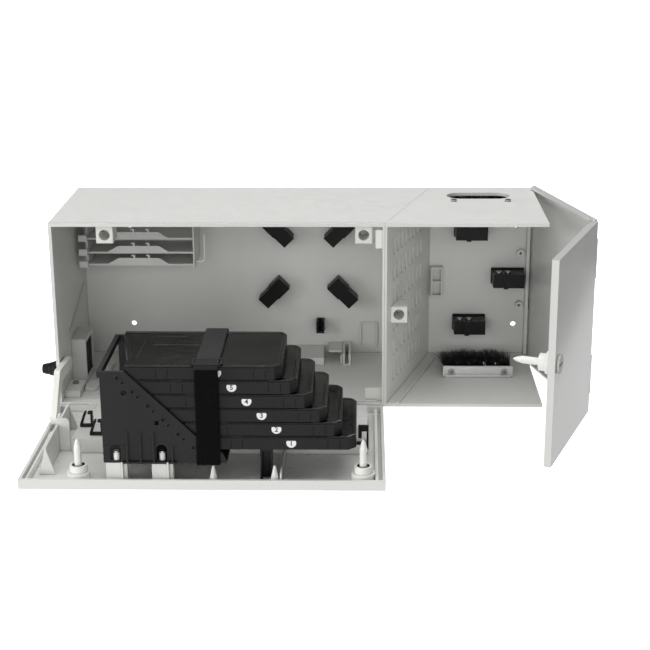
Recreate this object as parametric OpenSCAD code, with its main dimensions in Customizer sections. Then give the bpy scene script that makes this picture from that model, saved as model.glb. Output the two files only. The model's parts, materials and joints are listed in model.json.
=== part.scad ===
// Wall-mounted fibre termination box with a fold-down splice tray door and a
// two-panel swing door on its patch compartment. Millimetres. The solids are
// drawn from the outer lower front left corner of the housing, and place()
// moves them so that the centre of the four wall holes is the origin.
// The main door is drawn open, and the side door half open.

/* [Housing] */
// Outer width of both compartments together
box_w = 500; // [490:1:520]
// Outer depth from the front rim to the wall
box_d = 168; // [164:1:172]
// Outer height
box_h = 194; // [192:1:198]
// Thickness of the outer walls
wall = 3.5; // [3:0.1:3.8]
// Where the slanted seam meets the front rim
seam_front = 337; // [334:1:340]
// Where the slanted seam meets the wall side
seam_back = 388; // [380:1:392]
// Thickness of each skin beside the seam
seam_wall = 2.2; // [1.8:0.1:2.4]

/* [Wall fixing] */
// Hole spacing across
hole_span_x = 429; // [420:1:432]
// Hole spacing up
hole_span_z = 114; // [110:1:118]
// Wall hole diameter
hole_d = 6; // [5:0.1:7]

/* [Main door] */
// Length of the door from hinge edge to free edge
door_len = 193.6; // [192:0.1:193.8]
// Skin thickness of the door
door_skin = 3; // [2.5:0.1:3.2]
// Depth of the door from rim to outer face
door_deep = 9.6; // [9:0.1:10]
// Distance of the lock pins from the hinge axis
lock_reach = 177.5; // [176:0.1:178]

/* [Splice trays] */
// Number of trays
tray_count = 6; // [6]
// Sideways step from tray to tray
tray_step_x = 13.3; // [13.2:0.1:13.5]
// Upward step from tray to tray
tray_step_z = 13.45; // [13.35:0.05:13.6]
// Length of a tray from its pivot to its free end
tray_len = 148; // [140:1:150]
// Height of a tray body under its lid
tray_h = 11.7; // [11:0.1:11.9]
// Thickness of a tray lid
lid_t = 1.1; // [0.9:0.1:1.2]

/* [Side door] */
// Angle at which the side panel stands open
side_open = 15.5; // [0:0.5:30]
// Angle at which the front panel is folded back from its closed corner
fold_open = 53.7; // [20:0.1:80]
// How far the side door overlaps the housing above and below
door_over = 3; // [2.5:0.1:3.5]
// Thickness of the side door panels
panel_t = 2.6; // [2.4:0.1:2.8]

/* [Stay arm] */
// Thickness of the stay arm
stay_t = 6; // [4:0.5:6]
// Width of the stay arm
stay_w = 13; // [11:0.5:13]

/* [Hidden] */

$fn = 48;
eps = 1;                     // overshoot of cutting tools
fit = 0.05;                  // radial running clearance of pins
gap = 0.5;                   // axial gap between hinge knuckles

grey = [0.82, 0.82, 0.80];
dark_grey = [0.45, 0.46, 0.46];
black = [0.07, 0.07, 0.08];
white = [0.93, 0.93, 0.90];
metal = [0.70, 0.70, 0.72];

hole_mid_x = 270;            // middle of the wall holes from the left side
hole_mid_z = 95;             // middle of the wall holes from the floor

slope = (seam_back - seam_front) / box_d;
seam_angle = atan(slope);

// main door hinge, an axis along X at the lower front edge
hinge_y = -1;
hinge_z = 1;
pin_r = 1;
knuckle_r = 2.4;
notch_r = 2.9;
knuckle_l = 20;              // moving knuckle
lug_l = 10;                  // fixed knuckle on each side of it
notch_l = lug_l + 2 * gap;   // room in the door's rim for a fixed knuckle
hinge_at = [62, 275];        // middles of the two main door hinges
rim_z = 1.3;                 // height of the open door's rim
door_x0 = 0.5;
door_x1 = seam_front - 0.5;
door_y1 = -0.8;
door_y0 = door_y1 - door_len;
door_z0 = rim_z - door_deep;
door_floor = door_z0 + door_skin;
rim_t = 3;
rim_groove = 3.5;

lock_x = [54, 316];          // lock positions along the main door
lock_y = hinge_y - lock_reach;
lock_z = hinge_z + lock_reach;
lock_pin_r = 3.5;
lock_up = 36;                // lock pin's reach above the skin
receiver = 17;
receiver_y = 14;
receiver_deep = 26;
receiver_r = 5.5;

side_lock_x = 352;
side_lock_z = 95;

// side door hinges, axes along Z
side_x = box_w + 0.4;
side_y = box_d - panel_t;
side_r = 2.6;
side_notch = 3.1;
fold_x = side_x;
fold_y = -7.5 + panel_t;
side_at = [36, 158];         // middles of the two hinges up the side
panel_z0 = -door_over;
panel_h = box_h + 2 * door_over;
panel_rim = 2.3;
panel_y0 = fold_y - panel_t;
free_x = seam_front + 0.8;

// splice tray carrier
pivot_x = 95;                // top tray's pivot
pivot_z = 97;
pivot_r = 2;
cheek_y0 = -186.5;
cheek_t = 3;
rear_cheek_y = -80;
rear_cheek_t = 2.5;
tray_y0 = -183.2;
tray_y1 = -80.3;
tray_drop = 2.5;             // tray floor below its pivot
foot_z = 15;
foot_t = 2;
base_top = 10;
foot_screws = [[90.5, -182.8], [132.5, -182.8], [91, -86], [146, -86]];
screw_r = 1.2;
shoe_gap = 0.3;              // running clearance under the bracket's shoes
sleeve_h = 7;                // spacer sleeve under each front screw
strap_x0 = 164.5;
strap_w = 21.5;
strap_t = 1.9;
strap_z0 = 12.6;
strap_z1 = 109.5;
strap_y0 = -188.8;
strap_y1 = -74.5;

stay_pivot = [-60, 9.6];
stay_bend = [-32, 44];
stay_end = [21, 40];
stay_x = 5.2;

// patch compartment cable slots and brushes
slot_x = 438.5;
slot_y = 127.5;
slot_l = 67;
slot_w = 30;
brush_x0 = 402;
brush_x1 = 477;
brush_y = 81.5;
brush_screw_x = [411, 468];
brush_screw_y = 100;
screw_high = 6.5;            // screws in the lower holder's face, above the floor
slot_rows = 6;               // cable tie slots beside the seam
slot_columns = 8;
boss_x = 490;
boss_z = [61.5, 121.5];
entry_y = 73;                // cable entry in the left side
entry_z = 15;

module place() { translate([-hole_mid_x, -box_d, -hole_mid_z]) children(); }
module along_x(x, y, z, r, l) { translate([x, y, z]) rotate([0, 90, 0]) cylinder(r = r, h = l); }
module along_y(x, y, z, r, l) { translate([x, y, z]) rotate([-90, 0, 0]) cylinder(r = r, h = l); }
module along_z(x, y, z, r, l) { translate([x, y, z]) cylinder(r = r, h = l); }
module block(x0, y0, z0, x1, y1, z1) { translate([x0, y0, z0]) cube([x1 - x0, y1 - y0, z1 - z0]); }

// a plate standing across Y, from an outline in X and Z
module plate_xz(y, t, outline) {
    translate([0, y + t, 0]) rotate([90, 0, 0]) linear_extrude(t) polygon(outline);
}
// a plate standing across X, from an outline in Y and Z
module plate_yz(x, t, outline) {
    translate([x, 0, 0]) rotate([90, 0, 90]) linear_extrude(t) polygon(outline);
}
// everything drawn on the seam: X runs away from the seam, Y along it from the front
module on_seam() { translate([seam_front, 0, 0]) rotate([0, 0, -seam_angle]) children(); }

function seam_x(y) = seam_front + slope * y;

// ---------- housing ----------

module wall_holes(x) {
    for (z = [-1, 1])
        along_y(x, box_d - wall - eps, hole_mid_z + z * hole_span_z / 2, hole_d / 2, wall + 2 * eps);
}

module hinge_lugs(x) {
    for (s = [0, knuckle_l + 2 * gap + lug_l])
        along_x(x - knuckle_l / 2 - gap - lug_l + s, hinge_y, hinge_z, knuckle_r, lug_l);
}

module main_housing() {
    in_x1 = seam_x(-eps) - seam_wall;
    in_x2 = seam_x(box_d - wall) - seam_wall;
    color(grey) place() difference() {
        union() {
            difference() {
                linear_extrude(box_h)
                    polygon([[0, 0], [seam_front, 0], [seam_back, box_d], [0, box_d]]);
                translate([0, 0, wall]) linear_extrude(box_h - 2 * wall)
                    polygon([[wall, -eps], [in_x1, -eps], [in_x2, box_d - wall], [wall, box_d - wall]]);
            }
            for (x = hinge_at) hinge_lugs(x);
            // lip along the front edge of the floor and the ledge along the wall
            block(24, 4, wall - eps, 330, 6.5, wall + 1.6);
            block(100, box_d - wall - 44, wall - eps, 272, box_d - wall + eps, 12);
            // shallow recess frame in the lower right corner
            for (x = [313, 331]) block(x - 0.8, box_d - wall - 1.2, 12, x + 0.8, box_d - wall + eps, 40);
            block(313, box_d - wall - 1.2, 38.4, 331, box_d - wall + eps, 40);
        }
        wall_holes(hole_mid_x - hole_span_x / 2);
        for (x = hinge_at) {
            along_x(x - knuckle_l / 2 - gap, hinge_y, hinge_z, notch_r, knuckle_l + 2 * gap);
            along_x(x - knuckle_l, hinge_y, hinge_z, pin_r + fit, 2 * knuckle_l);
        }
        // cable entry through the left side
        along_x(-eps, entry_y, entry_z, 6.5, wall + 2 * eps);
        // shadow groove along the roof rim
        block(-eps, 3.2, box_h - 0.5, seam_front + 2, 3.9, box_h + eps);
    }
}

module oval(x, y, l, w) {
    translate([x, y]) union() {
        square([l - w, w], center = true);
        for (s = [-1, 1]) translate([s * (l - w) / 2, 0]) circle(d = w);
    }
}

module seam_slots() {
    for (row = [0:slot_rows - 1], column = [0:slot_columns - 1])
        translate([-eps, 24 + column * 15, 20.5 + row * 27]) cube([seam_wall + 2.4, 5.4, 17.5]);
}

module side_housing() {
    x0 = seam_x(0) + 0.2;
    x1 = seam_x(box_d) + 0.2;
    color(grey) place() difference() {
        union() {
            difference() {
                linear_extrude(box_h) polygon([[x0, 0], [box_w, 0], [box_w, box_d], [x1, box_d]]);
                translate([0, 0, wall]) linear_extrude(box_h - 2 * wall)
                    polygon([[x0 + seam_wall - slope * eps, -eps], [box_w + eps, -eps],
                             [box_w + eps, box_d - wall], [x1 + seam_wall - slope * wall, box_d - wall]]);
            }
            for (z = side_at) for (s = [0, knuckle_l + 2 * gap + lug_l])
                along_z(side_x, side_y, z - knuckle_l / 2 - gap - lug_l + s, side_r, lug_l);
            // low rib on the floor beside the seam, and an upright post at the back
            on_seam() block(13, 4, wall - eps, 15, box_d * 0.9, wall + 2);
            block(box_w - 3.5, box_d - wall - 5, wall - eps, box_w, box_d - wall + eps, box_h - wall + eps);
            // screw bosses beside the post
            for (z = boss_z)
                along_y(boss_x, box_d - wall - 5, z, 4, 5 + eps);
        }
        wall_holes(hole_mid_x + hole_span_x / 2);
        on_seam() seam_slots();
        for (z = boss_z) along_y(boss_x, box_d - wall - 5 - eps, z, 1.6, 5);
        for (z = [-eps, box_h - wall - eps])
            translate([0, 0, z]) linear_extrude(wall + 2 * eps) oval(slot_x, slot_y, slot_l, slot_w);
        for (x = brush_screw_x) along_z(x, brush_screw_y, box_h - wall - eps, 1.7, wall + 2 * eps);
        for (z = side_at) {
            along_z(side_x, side_y, z - knuckle_l / 2 - gap, side_notch, knuckle_l + 2 * gap);
            along_z(side_x, side_y, z - knuckle_l, pin_r + fit, 2 * knuckle_l);
        }
    }
}

module lock_receivers() {
    h = receiver / 2;
    color(white) place() difference() {
        union() {
            for (x = lock_x)
                block(x - h, receiver_y, lock_z - h, x + h, receiver_y + receiver_deep, box_h - wall);
            intersection() {
                block(side_lock_x - 20, receiver_y, side_lock_z - h,
                      side_lock_x + h, receiver_y + receiver_deep, side_lock_z + h);
                on_seam() block(0.2 + seam_wall, 0, 0, 60, box_d, box_h);
            }
        }
        for (p = [[lock_x[0], lock_z], [lock_x[1], lock_z], [side_lock_x, side_lock_z]])
            along_y(p[0], receiver_y - eps, p[1], receiver_r, receiver_deep - 2 + eps);
    }
}

// soft pads that the closed main door meets beside the seam
module door_pads() {
    face = seam_x(0) - seam_wall;
    color(white) place() intersection() {
        union() {
            block(face - 7, 2, 168, face + 6, 6, 187);
            block(face - 17, 8, wall, face + 6, 11, 17.5);
        }
        on_seam() block(-40, -20, 0, -seam_wall * cos(seam_angle), box_d, box_h);
    }
}

// three shelves with humped front lips between two end plates
shelf_z = [119, 132.5, 148];
shelf_y = 116;
shelf_x0 = 17;
shelf_x1 = 131;
module fibre_organiser() {
    lip = 2;
    color(grey) place() {
        for (z = shelf_z) {
            plate_xz(shelf_y, 1.5, [[shelf_x0, z], [shelf_x0, z + lip], [38, z + lip], [49, z + 8],
                [52, z + 8.5], [92, z + 8.5], [95, z + 8], [104, z + lip],
                [shelf_x1, z + lip], [shelf_x1, z]]);
            block(shelf_x0, shelf_y + 1.5, z, shelf_x1, box_d - wall, z + 1.5);
            // small hooks on the hump
            for (x = [66, 82]) {
                block(x, shelf_y, z + 8.5, x + 2, shelf_y + 1.5, z + 12);
                block(x - 2, shelf_y, z + 10.5, x, shelf_y + 1.5, z + 12);
            }
            // curled guide at the left end
            block(shelf_x0 - 9, shelf_y - 6, z - 1, shelf_x0, shelf_y - 4.5, z + 6);
            block(shelf_x0 - 9, shelf_y - 4.5, z - 1, shelf_x0 - 7.5, shelf_y, z + 4);
            block(shelf_x0 - 1.5, shelf_y - 4.5, z - 1, shelf_x0, shelf_y, z + 6);
        }
        for (x = [shelf_x0 - 1.5, shelf_x1])
            block(x, shelf_y, shelf_z[0] - 3, x + 1.5, box_d - wall, shelf_z[2] + 14);
    }
}

// bent wire gate on the right end plate
module wire_clip() {
    r = 0.9;
    x = shelf_x1 + 12;
    y = shelf_y + 6;
    color(white) place() {
        along_z(x, y, 126, r, 26);
        translate([x - 4, y, 126]) rotate([90, 0, 0])
            rotate_extrude(angle = -90) translate([4, 0]) circle(r);
        along_x(shelf_x1 + 1.5, y, 122, r, x - 4 - shelf_x1 - 1.5);
    }
}

// four stepped blocks round the middle of the back, for looping fibres
module fibre_guides() {
    y = box_d - wall;
    color(black) place() for (p = [[222, 148, 135], [289, 148, 45], [216, 78, 45], [293, 78, 135]])
        translate([p[0], y, p[1]]) rotate([0, -p[2], 0]) {
            translate([-16, -16, -7.5]) cube([15, 16, 15]);
            translate([-1, -16, -8.7]) cube([17, 16, 17.4]);
            translate([-16.8, -17.5, -7.5]) cube([33.6, 1.5, 15]);
        }
}

module fibre_clip() {
    color(black) place() difference() {
        block(263, box_d - wall - 14, 31, 272, box_d - wall, 45);
        block(265, box_d - wall - 15, 33.5, 270, box_d - wall - 2, 46);
    }
}

// ---------- cable entry in the left side ----------

entry_x1 = 19;
module cable_entry_frame() {
    color(grey) place() difference() {
        block(wall, 62, wall, entry_x1, 106, 52);
        block(entry_x1 - 6, 66, 8, entry_x1 + eps, 102, 47);
        along_x(wall - eps, entry_y, entry_z, 6.5, entry_x1);
    }
}

module entry_seal() {
    color(black) place() difference() {
        block(entry_x1 - 6, 66, 8, entry_x1 - 1.5, 102, 47);
        along_x(0, entry_y, entry_z, 4, entry_x1 + eps);
    }
}

// tapered sleeve outside, with its thread through the side and the frame
module cable_gland() {
    color(black) place() translate([0, entry_y, entry_z]) rotate([0, -90, 0]) difference() {
        union() {
            cylinder(r = 13, h = 6, $fn = 64);
            translate([0, 0, 6]) cylinder(r = 11.5, h = 5);
            translate([0, 0, 11]) cylinder(r1 = 11, r2 = 6.6, h = 14, $fn = 64);
            translate([0, 0, 25]) cylinder(r1 = 6.6, r2 = 5, h = 6, $fn = 64);
            translate([0, 0, -wall - 5]) cylinder(r = 6.4, h = wall + 5);
        }
        translate([0, 0, -wall - 5 - eps]) cylinder(r = 4, h = 60);
    }
}

// toothed track on the left side, which the end of the stay arm passes
module stay_track() {
    color(grey) place() {
        difference() {
            plate_yz(wall, 1.4, [[52, 55], [150, 84], [150, 91], [52, 62]]);
            for (k = [0:3]) along_x(0, 58 + 9 * k, 62.4 + 2.66 * k, 1.3, 10);
        }
    }
}

// raised block in the front left corner of the floor, with a rounded tab beside it
module floor_block() {
    color(grey) place() {
        difference() {
            block(wall, 14, wall, 20, 48, 11);
            along_z(11.5, 38, 4, 1.6, 10);
        }
        difference() {
            union() {
                block(21.5, 34, wall, 30, 62, 7);
                along_z(29, 39, wall, 5, 3.5);
                along_z(29, 57, wall, 5, 3.5);
                block(29, 39, wall, 34, 57, 7);
            }
            block(23, 36, wall - eps, 31.5, 60, 5);
        }
    }
}

// pan-head screw standing on Z, its head's underside at z
module screw_z(x, y, z, r, l) {
    difference() {
        union() {
            along_z(x, y, z - l, r, l);
            along_z(x, y, z, 2.1 * r, 1.4 * r);
        }
        for (a = [0, 90]) translate([x, y, z + 1.4 * r]) rotate([0, 0, a])
            cube([3 * r, 0.5 * r, 1.4 * r], center = true);
    }
}

module floor_screws() {
    color(metal) place() {
        screw_z(11.5, 38, 11, 1.5, 6);
        screw_z(66, 99, 15.5, 1.5, 6);
    }
}

module cable_comb() {
    color(white) place() {
        block(33, 76, wall, 39.5, 122, wall + 1.8);
        for (k = [0:5]) block(33, 78 + 8 * k, wall + 1.8, 39.5, 80 + 8 * k, wall + 6);
    }
}

// earth terminal block on the floor
module earth_terminal() {
    color(white) place() difference() {
        union() {
            block(57, 92, wall, 76, 126, 13);
            block(60, 94, 13, 73, 124, 15.5);
        }
        along_z(66, 99, 8, 1.6, 9);
        for (y = [109, 118]) along_z(66, y, 9, 2.4, 9);
    }
}

// upright trunking at the back with a slot, and a rounded shelf beside it
module cable_channel() {
    y1 = box_d - wall;
    color(grey) place() {
        difference() {
            block(293, y1 - 46, wall, 302, y1, 17);
            block(295.5, y1 - 47, wall + 2, 299.5, y1 - 6, 18);
        }
        block(281, y1 - 30, 14, 292.5, y1, 16);
        block(277, y1 - 26, 14, 282, y1, 16);
        along_z(281, y1 - 26, 14, 4, 2);
        block(290.5, y1 - 42, wall, 292.5, y1, 14);
    }
}

// ---------- patch compartment ----------

module adapter_frame() {
    y = box_d - wall;
    x = seam_x(box_d) + 3;
    color(grey) place() difference() {
        block(x, y - 8, 72, x + 13, y, 106);
        for (z = [74, 90]) block(x + 2, y - 9, z, x + 11, y - 1.5, z + 14);
    }
}

clamp_at = [[417, 33], [459, 87], [417, 141]];
clamp_w = 34.5;
clamp_d = 25;
clamp_h = 15.5;
clamp_screw_x = [0.18, 0.47]; // share of the clamp's width
module cable_clamps() {
    y1 = box_d - wall;
    y0 = y1 - clamp_d;
    color(black) place() for (p = clamp_at) difference() {
        union() {
            block(p[0], y0 + 1, p[1], p[0] + 0.36 * clamp_w, y1, p[1] + clamp_h);
            block(p[0] + 0.36 * clamp_w - eps, y0 - 0.6, p[1] - 1,
                  p[0] + 0.48 * clamp_w, y1, p[1] + clamp_h);
            block(p[0] + 0.48 * clamp_w - eps, y0, p[1], p[0] + clamp_w, y1, p[1] + clamp_h);
            block(p[0] - 1, y1 - 2, p[1] - 1, p[0] + clamp_w + 1, y1, p[1] + clamp_h + 1.5);
        }
        for (x = clamp_screw_x) along_z(p[0] + x * clamp_w, y0 + 7, p[1] + clamp_h - 5, 1.6, 6);
    }
}

module clamp_screws() {
    y0 = box_d - wall - clamp_d;
    color(metal) place() for (p = clamp_at, x = clamp_screw_x)
        screw_z(p[0] + x * clamp_w, y0 + 7, p[1] + clamp_h, 1.5, 3.5);
}

// L-shaped holder and the strip of bristles that it grips; up is 1 on the floor, -1 under the roof
module brush_holder(z, up) {
    color(metal) place() translate([0, 0, z]) mirror([0, 0, up < 0 ? 1 : 0]) difference() {
        union() {
            block(brush_x0, brush_y, 0, brush_x1, brush_y + 2, 12.5);
            block(brush_x0, brush_y, 0, brush_x1, 111, 1.6);
            block(brush_x0 + 2, brush_y - 1.6, 0, brush_x1 - 2, brush_y, 3);
        }
        for (x = brush_screw_x)
            if (up > 0) along_y(x, brush_y - eps, screw_high, 1.6, 2 + 2 * eps);
            else along_z(x, brush_screw_y, -eps, 1.6, 4);
    }
}

module brush(z, up) {
    y0 = brush_y + 2.2;
    color(black) place() translate([0, 0, z]) mirror([0, 0, up < 0 ? 1 : 0])
        translate([0, 0, 5.2]) linear_extrude(7)
            polygon([[brush_x0 + 2, y0], [brush_x1 - 2, y0], [brush_x1 + 5, y0 + 40],
                     [brush_x1 - 3, y0 + 44], [brush_x0 + 3, y0 + 44], [brush_x0 - 5, y0 + 40]]);
}

module floor_brush_holder() { brush_holder(wall, 1); }
module floor_brush() { brush(wall, 1); }
module top_brush_holder() { brush_holder(box_h - wall, -1); }
module top_brush() { brush(box_h - wall, -1); }

module brush_screws() {
    color(metal) place() for (x = brush_screw_x) {
        translate([x, brush_y, wall + screw_high]) rotate([90, 0, 0]) screw_z(0, 0, 0, 1.5, 1.9);
        screw_z(x, brush_screw_y, box_h, 1.5, 4.8);
    }
}

// ---------- hinge pins ----------

module main_hinge_pins() {
    l = 2 * knuckle_l;
    color(metal) place() for (x = hinge_at) along_x(x - l / 2, hinge_y, hinge_z, pin_r, l);
}

module side_hinge_pins() {
    l = 2 * knuckle_l;
    color(metal) place() for (z = side_at) along_z(side_x, side_y, z - l / 2, pin_r, l);
}

// ---------- main door, drawn open ----------

rail_x = 20.5;
module main_door() {
    x0 = door_x0;
    x1 = door_x1;
    inner = rim_t + rim_groove;
    color(grey) place() difference() {
        union() {
            block(x0, door_y0, door_z0, x1, door_y1, door_floor);
            block(x0, door_y0, door_z0, x0 + rim_t, door_y1, rim_z);
            block(x1 - rim_t, door_y0, door_z0, x1, door_y1, rim_z);
            block(x0, door_y0, door_z0, x1, door_y0 + rim_t, rim_z);
            block(x0, door_y1 - rim_t, door_z0, x1, door_y1, rim_z);
            // inner ribs of the double rim
            block(x1 - inner - rim_t, door_y0 + rim_t - eps, door_z0, x1 - inner, door_y1 - 9, rim_z);
            block(x0 + inner, door_y0 + rim_t - eps, door_z0, x0 + inner + 2, -76, rim_z);
            for (x = hinge_at)
                along_x(x - knuckle_l / 2, hinge_y, hinge_z, knuckle_r, knuckle_l);
            // tall rail on the left with its gussets and cross wall
            block(rail_x, -168, door_z0, rail_x + 2, -52, 22);
            for (y = [-168, -52 - 1.8])
                plate_xz(y, 1.8, [[rail_x - 6, door_floor - eps], [rail_x, 18], [rail_x + 2, 18],
                                  [rail_x + 10, door_floor - eps]]);
            block(rail_x, -110, door_z0, 33, -107.6, 24);
            along_y(29, -110, 24, 4, 2.4);
            block(rail_x, -110, 22, 29, -107.6, 28);
            // lugs for the stay arm's pivot
            block(stay_x + stay_t + 0.4, stay_pivot[0] - 5, door_floor - eps,
                  stay_x + stay_t + 3, stay_pivot[0] + 5, stay_pivot[1]);
            along_x(stay_x + stay_t + 0.4, stay_pivot[0], stay_pivot[1], 5, 2.6);
            // cones and ribs behind the free edge
            for (x = [179, 235]) translate([x, -184, door_floor - eps]) cylinder(r1 = 5, r2 = 1, h = 18);
            block(240, -190, door_floor - eps, 241.6, -116, 6);
        }
        for (x = hinge_at) {
            for (s = [-1, 1])
                along_x(x + s * (knuckle_l + notch_l) / 2 - notch_l / 2, hinge_y, hinge_z, notch_r, notch_l);
            along_x(x - knuckle_l, hinge_y, hinge_z, pin_r + fit, 2 * knuckle_l);
        }
        for (x = lock_x) along_z(x, lock_y, door_z0 - eps, lock_pin_r + 0.3, door_skin + 2 * eps);
        along_x(stay_x + stay_t, stay_pivot[0], stay_pivot[1], 2 + fit, 6);
    }
}

// light inner tray that carries the splice bracket
module tray_base() {
    color(grey) place() difference() {
        block(36, -115, door_floor, 320, -22, base_top);
        block(38, -113, door_floor - eps, 318, -24, base_top - 2);
        // mouth towards the hinge, so that the inside is open
        block(60, -25, door_floor - eps, 300, -20, base_top - 4);
    }
}

// sliding shoes: the front pair runs on the door's skin, the rear pair on the inner tray
module bracket_blocks() {
    color(grey) place() difference() {
        union() {
            for (x = [81, 123]) {
                block(x, -187, door_floor + shoe_gap, x + 19.5, -178, foot_z);
                block(x + 14.2, -190.2, door_floor + shoe_gap, x + 15.8, -187, foot_z + 1.5);
            }
            for (x = [85, 140]) block(x, -92, base_top + shoe_gap, x + 12, -80, foot_z);
        }
        for (p = foot_screws) along_z(p[0], p[1], base_top + 0.8, screw_r + 0.1, 10);
    }
}

function pivot(k) = [pivot_x + (tray_count - k) * tray_step_x, pivot_z - (tray_count - k) * tray_step_z];

module cheek(y, t) {
    plate_xz(y, t, [[79, foot_z], [79, 103], [101, 103], [168, 37], [180, 31], [188, 24], [192, foot_z]]);
}

module tray_bracket() {
    color(black) place() difference() {
        union() {
            cheek(cheek_y0, cheek_t);
            cheek(rear_cheek_y, rear_cheek_t);
            block(79, cheek_y0, foot_z, 192, rear_cheek_y + rear_cheek_t, foot_z + foot_t);
            block(76.5, cheek_y0, 97, 80.5, rear_cheek_y + rear_cheek_t, 103);
            // ribs on the outside of the front cheek
            for (x = [100.5, 112.5, 124.5])
                block(x, cheek_y0 - 0.8, 19, x + 1.6, cheek_y0 + eps, 45);
            block(141.5, cheek_y0 - 0.8, 17, 143.1, cheek_y0 + eps, 32);
            block(79, cheek_y0 - 0.8, 30.5, 101, cheek_y0 + eps, 31.5);
        }
        for (k = [1:tray_count]) {
            p = pivot(k);
            along_y(p[0], -190, p[1], pivot_r + fit, 120);
            along_y(p[0] + 4.6, cheek_y0 - 1, p[1] - 4.9, 1.5, cheek_t + 2);
        }
        along_y(100.5, cheek_y0 - 1, 82.5, 2.9, cheek_t + 2);
        // pockets over the front screws
        for (p = [foot_screws[0], foot_screws[1]]) {
            block(p[0] - 5, cheek_y0 - 2, foot_z + foot_t, p[0] + 5, cheek_y0 + cheek_t + 1, 28);
            along_y(p[0], cheek_y0 - 2, 28, 5, cheek_t + 3);
        }
        block(127, cheek_y0 - 1, 51.5, 131, cheek_y0 + cheek_t + 1, 56);
        for (p = foot_screws) along_z(p[0], p[1], foot_z - eps, screw_r + 0.1, foot_t + 2 * eps);
    }
}

// spacer sleeves under the heads of the two front screws
module bracket_sleeves() {
    color(white) place() for (p = [foot_screws[0], foot_screws[1]]) difference() {
        along_z(p[0], p[1], foot_z + foot_t, 2.8, sleeve_h);
        along_z(p[0], p[1], foot_z + foot_t - eps, screw_r + 0.1, sleeve_h + 2 * eps);
    }
}

module bracket_screws() {
    color(metal) place() {
        for (p = [foot_screws[0], foot_screws[1]])
            screw_z(p[0], p[1], foot_z + foot_t + sleeve_h, screw_r, sleeve_h + 5.5);
        for (p = [foot_screws[2], foot_screws[3]]) screw_z(p[0], p[1], foot_z + foot_t, screw_r, 5.5);
    }
}

// hook-and-loop strap, a flat band once round the tray stack
module strap() {
    x1 = strap_x0 + strap_w;
    color(black) place() difference() {
        block(strap_x0, strap_y0, strap_z0, x1, strap_y1, strap_z1);
        block(strap_x0 - eps, strap_y0 + strap_t, strap_z0 + strap_t, x1 + eps,
              strap_y1 - strap_t, strap_z1 - strap_t);
    }
}

module strap_buckle() {
    x1 = strap_x0 + strap_w;
    color(black) place() {
        for (x = [strap_x0 - 3.6, x1 + 0.4]) block(x, -186, strap_z1 - 1.8, x + 3.2, -168, strap_z1 + 1.2);
        block(strap_x0 - 0.4, -178, strap_z1 + 0.2, x1 + 0.4, -174, strap_z1 + 1.2);
    }
}

module support_leg() {
    color(black) place() difference() {
        block(221.5, -178, door_floor, 233, -168, 26.6);
        block(223, -179, door_floor - eps, 231.5, -170, 23.5);
    }
}

// two open rings for fibre bundles, on the inner tray
module cable_clips() {
    color(black) place() for (p = [[38.5, -86], [52, -108]]) translate([p[0], 0, 0]) difference() {
        plate_xz(p[1], 5, [[0, base_top], [0, base_top + 3], [4, base_top + 14.5], [5, base_top + 15.5],
            [12, base_top + 15.5], [12.6, base_top + 14.5], [12.6, base_top]]);
        plate_xz(p[1] - 1, 7, [[2.4, base_top + 2.2], [5.4, base_top + 11.5], [6.6, base_top + 13.4],
            [10.6, base_top + 13.4], [10.6, base_top + 2.2]]);
        block(6.5, p[1] - 1, base_top + 12, 8, p[1] + 6, base_top + 16);
    }
}

module side_clip() {
    color(black) place() {
        plate_xz(-118.6, 3.6, [[311, 13], [311, 25], [321, 25], [321, 1.5], [319, 1], [319, 19.5],
            [314.5, 19.5], [314.5, 13.5], [313, 12]]);
        block(306.5, -118, 5.5, 314, -115, 8);
    }
}

module lock_bezel() {
    difference() {
        union() {
            cylinder(r = 10.8, h = 8.5, $fn = 64);
            cylinder(r = 8.2, h = 15.3, $fn = 64);
        }
        translate([0, 0, -eps]) cylinder(r = lock_pin_r + 0.3, h = 20);
        translate([0, 0, 6]) cylinder(r = 6, h = 20);
    }
}

module lock_bezels() {
    color(white) place() for (x = lock_x) translate([x, lock_y, door_floor]) lock_bezel();
}

// quarter-turn pin with its slotted head outside the skin
module lock_pin(skin) {
    head = 2;
    color(white) difference() {
        union() {
            translate([0, 0, -skin - head - 0.2]) cylinder(r = 9, h = head, $fn = 64);
            translate([0, 0, -skin - 0.7]) cylinder(r = lock_pin_r, h = lock_up + skin - 3.3);
            translate([0, 0, lock_up - 4]) cylinder(r1 = lock_pin_r, r2 = 2.1, h = 5.5);
            translate([0, 0, lock_up + 1.5]) cylinder(r1 = 2.1, r2 = 0.6, h = 3);
        }
        translate([-7, -1, -skin - head - 1]) cube([14, 2, 1.9]);
        // flat on one side of the shank, which turns to lock
        translate([lock_pin_r - 0.7, -5, 17]) cube([5, 10, 12]);
    }
}

module lock_pin_left() { place() translate([lock_x[0], lock_y, door_floor]) lock_pin(door_skin); }
module lock_pin_right() { place() translate([lock_x[1], lock_y, door_floor]) lock_pin(door_skin); }

// ---------- stay arm ----------

module stay_arm() {
    r = stay_w / 2;
    p = [stay_pivot, stay_bend, stay_end];
    color(white) place() difference() {
        union() {
            for (k = [0, 1]) {
                d = p[k + 1] - p[k];
                n = [-d[1], d[0]] / norm(d) * (r - 0.2);
                plate_yz(stay_x, stay_t, [p[k] + n, p[k + 1] + n, p[k + 1] - n, p[k] - n]);
            }
            for (q = p) along_x(stay_x, q[0], q[1], r, stay_t);
        }
        along_x(stay_x - eps, stay_pivot[0], stay_pivot[1], 2 + fit, stay_t + 2 * eps);
    }
}

module stay_pin() {
    color(white) place() {
        along_x(stay_x - 1, stay_pivot[0], stay_pivot[1], 2, stay_t + 4);
        along_x(stay_x - 1.2, stay_pivot[0], stay_pivot[1], 3.4, 0.9);
    }
}

// ---------- splice trays ----------

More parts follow.
